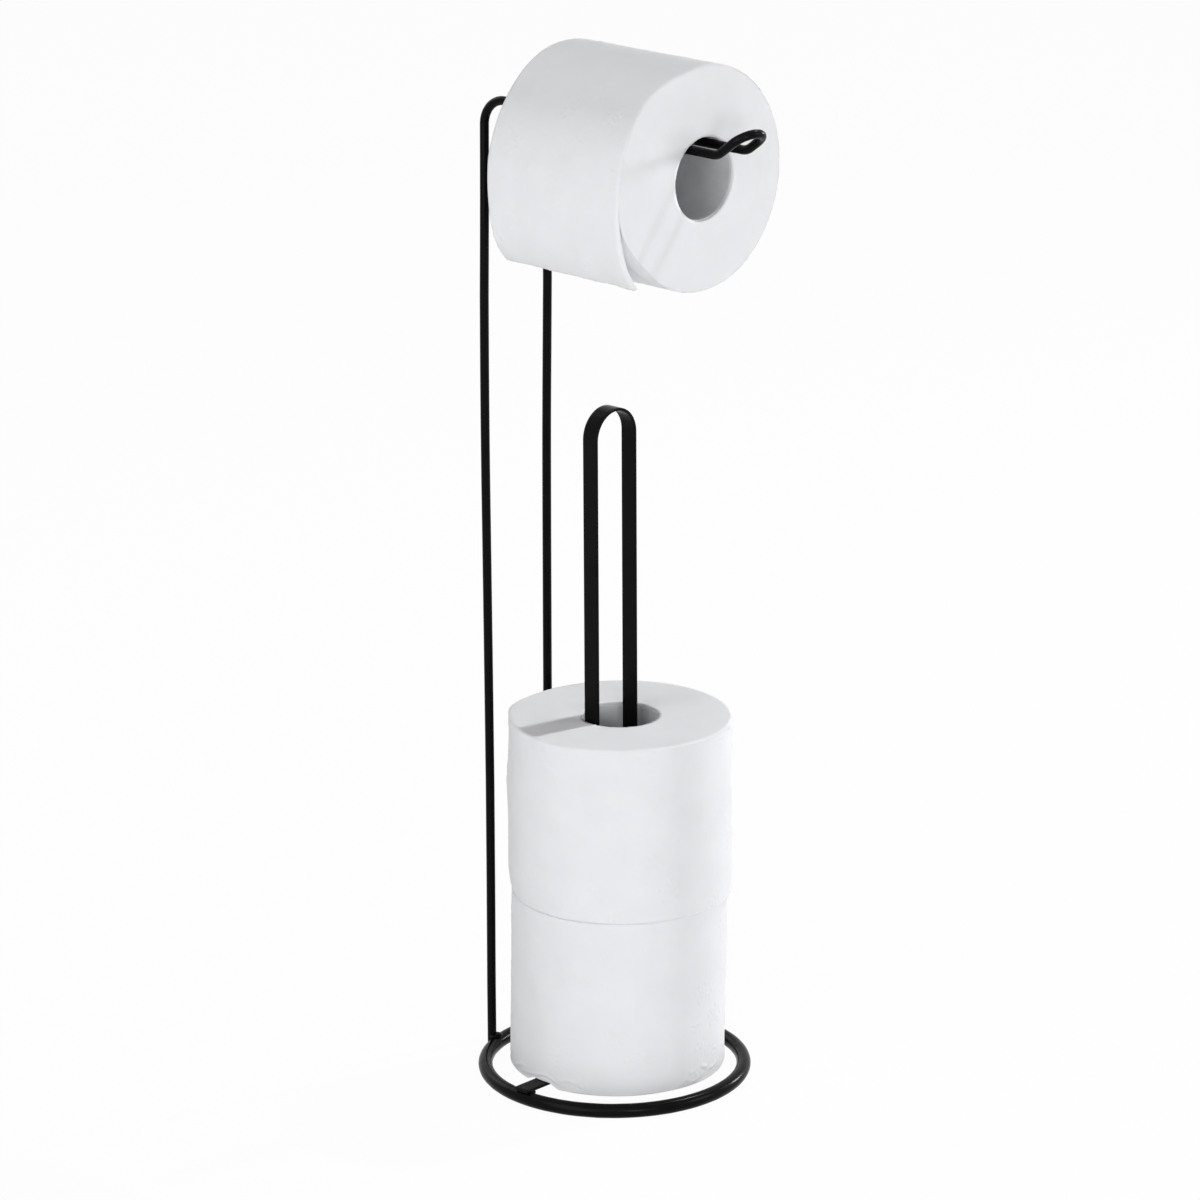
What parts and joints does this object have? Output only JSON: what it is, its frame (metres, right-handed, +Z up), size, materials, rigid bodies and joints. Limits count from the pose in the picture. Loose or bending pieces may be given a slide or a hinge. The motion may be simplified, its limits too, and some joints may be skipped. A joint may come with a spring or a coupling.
{
  "type": "toilet roll holder",
  "caption": "Free-standing toilet roll holder of black coated wire: a ring base, a double-wire upright with an upturned arm, and a flat hairpin post for spare rolls, shown loaded.",
  "frame": {"origin": "middle of the whole object's length and width, on the surface that the base ring stands on", "axes": "+Z up along the uprights; the arm and its upturned tip point towards -Y; +X to the right of someone who faces the arm's tip"},
  "size_m": [0.1528, 0.1814, 0.5834],
  "materials": {
    "black_coating": "satin",
    "paper": "matte",
    "core_board": "matte"
  },
  "bodies": {
    "stand": {"base_ring": "black_coating", "wire_frame": "black_coating", "spare_roll_post": "black_coating", "upright_weld_left": "black_coating", "upright_weld_right": "black_coating", "post_weld_left": "black_coating", "post_weld_right": "black_coating"},
    "hung_roll": {"hung_roll_paper": "paper", "hung_roll_core": "core_board"},
    "lower_roll": {"lower_roll_paper": "paper", "lower_roll_core": "core_board"},
    "upper_roll": {"upper_roll_paper": "paper", "upper_roll_core": "core_board"}
  },
  "joints": [
    {"name": "hung_roll_spin", "type": "hinge", "parent": "stand", "child": "hung_roll", "pos_m": [0, -0.00243, 0.52192], "axis": [0, -1, 0], "continuous": true},
    {"name": "lower_roll_lift", "type": "slide", "parent": "stand", "child": "lower_roll", "axis": [0, 0, 1], "range_m": [0, 0.115]},
    {"name": "upper_roll_lift", "type": "slide", "parent": "lower_roll", "child": "upper_roll", "axis": [0, 0, 1], "range_m": [0, 0.12]}
  ]
}
